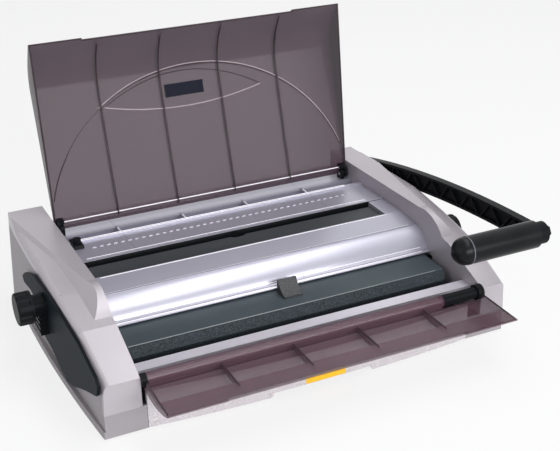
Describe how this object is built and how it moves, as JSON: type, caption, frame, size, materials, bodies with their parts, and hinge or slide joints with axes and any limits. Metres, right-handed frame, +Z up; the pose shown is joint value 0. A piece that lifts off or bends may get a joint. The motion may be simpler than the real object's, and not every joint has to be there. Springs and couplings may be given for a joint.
{
  "type": "wire binding machine",
  "caption": "Desktop punch and wire binding machine with a hinged smoked lid, a hinged front tray, a side handle with a truss arm, a wire closing lever, knobs and a chip drawer.",
  "frame": {"origin": "middle of the bounding box at the level of the feet", "axes": "+X along the paper edge from the left knob to the handle, +Y from the front tray to the rear, +Z up"},
  "size_m": [0.539, 0.4108, 0.3078],
  "materials": {
    "silver_moulding": "satin",
    "side_paint": "matte",
    "deck_paint": "satin",
    "speckled_front": "speckled",
    "smoked_cover": "gloss",
    "bar_paint": "satin",
    "lever_plastic": "satin",
    "black_plastic": "satin",
    "grip_plastic": "gloss",
    "drawer_plastic": "matte",
    "dark_steel": "satin",
    "rail_steel": "brushed",
    "plated_steel": "plated",
    "tool_steel": "ground",
    "foot_rubber": "matte"
  },
  "bodies": {
    "case": {"base_pan": "plated_steel", "rubber_feet": "foot_rubber", "left_side_panel": "side_paint", "right_side_panel": "side_paint", "left_top_cap": "silver_moulding", "right_top_cap": "silver_moulding", "rear_panel": "side_paint", "left_frame_plate": "plated_steel", "right_frame_plate": "plated_steel", "deck_cover": "deck_paint", "punch_plate": "dark_steel", "wire_hooks": "deck_paint", "stripper_block": "tool_steel", "die_block": "tool_steel", "die_end_blocks": "tool_steel", "rack_guides": "black_plastic", "closing_rack_guides": "black_plastic", "front_rail": "rail_steel", "drawer_runners": "plated_steel", "knob_bushing": "black_plastic", "lid_hinge_posts": "black_plastic", "lid_hinge_pins": "tool_steel", "front_hinge_bosses": "black_plastic", "front_hinge_rod": "tool_steel"},
    "lid": {"lid_shell": "smoked_cover", "lid_hinge_lugs": "black_plastic"},
    "front_cover": {"front_cover": "smoked_cover"},
    "handle": {"handle_arm": "black_plastic", "handle_grip": "grip_plastic", "grip_bolt": "black_plastic", "drive_shaft": "tool_steel", "punch_pinions": "tool_steel", "shaft_collars": "plated_steel"},
    "punch": {"punch_bar": "tool_steel", "punch_pins": "tool_steel", "punch_racks": "tool_steel"},
    "closing_lever": {"closing_lever": "lever_plastic", "closing_tube": "plated_steel", "closing_sectors": "tool_steel"},
    "closing_bar": {"closing_bar": "bar_paint", "closing_crossbar": "tool_steel", "closing_racks": "tool_steel", "thumb_tab": "black_plastic"},
    "size_knob": {"size_knob": "black_plastic"},
    "depth_knob": {"depth_knob": "black_plastic"},
    "chip_drawer": {"drawer_front": "speckled_front", "drawer_body": "drawer_plastic"},
    "margin_guide": {"margin_guide": "black_plastic"},
    "guide_screw": {"guide_screw": "black_plastic"}
  },
  "joints": [
    {"name": "lid_hinge", "type": "hinge", "parent": "case", "child": "lid", "pos_m": [0, 0.1564, 0.095], "axis": [1, 0, 0], "range_deg": [0, 97]},
    {"name": "front_cover_hinge", "type": "hinge", "parent": "case", "child": "front_cover", "pos_m": [0, -0.1391, 0.0575], "axis": [1, 0, 0], "range_deg": [-160, 0]},
    {"name": "handle_swing", "type": "hinge", "parent": "case", "child": "handle", "pos_m": [0.243, 0.1804, 0.074], "axis": [-1, 0, 0], "range_deg": [0, 60]},
    {"name": "punch_slide", "type": "slide", "parent": "case", "child": "punch", "axis": [0, -1, 0], "range_m": [0, 0.01416]},
    {"name": "closing_lever_swing", "type": "hinge", "parent": "case", "child": "closing_lever", "pos_m": [-0.24, 0.0204, 0.076], "axis": [-1, 0, 0], "range_deg": [0, 45]},
    {"name": "closing_bar_slide", "type": "slide", "parent": "case", "child": "closing_bar", "axis": [0, -1, 0], "range_m": [0, 0.00945]},
    {"name": "size_knob_turn", "type": "hinge", "parent": "closing_lever", "child": "size_knob", "pos_m": [-0.263, 0.0204, 0.076], "axis": [1, 0, 0], "range_deg": [-135, 135]},
    {"name": "depth_knob_turn", "type": "hinge", "parent": "case", "child": "depth_knob", "pos_m": [0.258, 0.0064, 0.06], "axis": [1, 0, 0], "range_deg": [-90, 90]},
    {"name": "chip_drawer_slide", "type": "slide", "parent": "case", "child": "chip_drawer", "axis": [0, -1, 0], "range_m": [0, 0.15]},
    {"name": "margin_guide_slide", "type": "slide", "parent": "case", "child": "margin_guide", "axis": [1, 0, 0], "range_m": [0, 0.05]},
    {"name": "guide_screw_turn", "type": "hinge", "parent": "margin_guide", "child": "guide_screw", "pos_m": [-0.1775, 0.1094, 0.098], "axis": [0, 0, 1], "range_deg": [0, 180]}
  ],
  "couplings": [
    {"joint": "punch_slide", "follows": "handle_swing", "m_per_rad": 0.0135},
    {"joint": "closing_bar_slide", "follows": "closing_lever_swing", "m_per_rad": 0.012}
  ]
}
